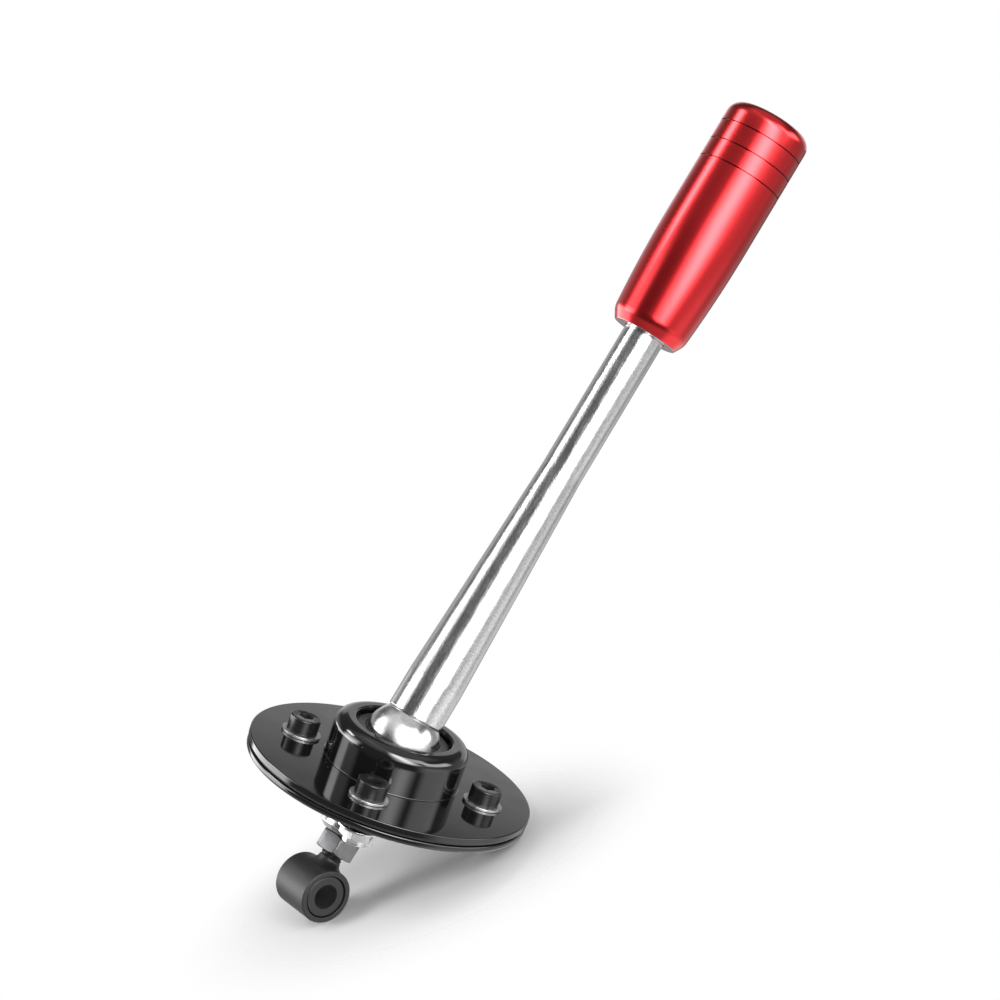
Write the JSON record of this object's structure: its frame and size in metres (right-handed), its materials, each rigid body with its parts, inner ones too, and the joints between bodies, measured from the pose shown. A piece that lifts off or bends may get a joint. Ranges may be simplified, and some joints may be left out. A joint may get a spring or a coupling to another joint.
{
  "type": "gear shift lever",
  "caption": "Short gear shift lever: tapered chrome shaft with a cylindrical red grip, on a pivot ball in a round flanged housing, with a rod eyelet on the end below the panel.",
  "frame": {"origin": "centre of the base plate's underside, which lies on the floor panel, on the housing's axis", "axes": "+Z is the housing's axis, up out of the panel; X runs side to side along the cross pin and the eyelet's bore; the lever is stored leaning towards +Y and slightly towards -X"},
  "size_m": [0.098, 0.1474, 0.2934],
  "materials": {
    "black_plate": "gloss black anodised",
    "gasket_rubber": "matte",
    "seat_nylon": "moulded, low sheen",
    "spring_steel": "oiled",
    "pin_steel": "ground",
    "screw_steel": "black oxide",
    "bright_zinc": "bright zinc plated",
    "chrome": "mirror",
    "red_anodised": "red anodised, semi-gloss",
    "black_steel": "black oxide, satin",
    "bush_nylon": "low sheen"
  },
  "bodies": {
    "housing": {"base_plate": "black_plate", "gasket": "gasket_rubber", "ball_housing": "black_plate", "upper_seat": "seat_nylon", "lower_seat": "seat_nylon", "wave_spring": "spring_steel", "circlip": "spring_steel", "socket_screw_1": "screw_steel", "screw_washer_1": "bright_zinc", "flange_nut_1": "bright_zinc", "socket_screw_2": "screw_steel", "screw_washer_2": "bright_zinc", "flange_nut_2": "bright_zinc", "socket_screw_3": "screw_steel", "screw_washer_3": "bright_zinc", "flange_nut_3": "bright_zinc", "socket_screw_4": "screw_steel", "screw_washer_4": "bright_zinc", "flange_nut_4": "bright_zinc"},
    "cross_pin": {"cross_pin": "pin_steel"},
    "lever": {"pivot_ball": "chrome", "lever_shaft": "chrome", "knob": "red_anodised", "lock_nut": "bright_zinc", "eyelet": "black_steel", "eyelet_bush": "bush_nylon"}
  },
  "joints": [
    {"name": "select", "type": "hinge", "parent": "housing", "child": "cross_pin", "pos_m": [0, 0, 0.016], "axis": [0, 1, 0], "range_deg": [-1.75, 15.25]},
    {"name": "shift", "type": "hinge", "parent": "cross_pin", "child": "lever", "pos_m": [0, 0, 0.016], "axis": [0.9931, 0, 0.1175], "range_deg": [-3.5, 44.5]}
  ]
}
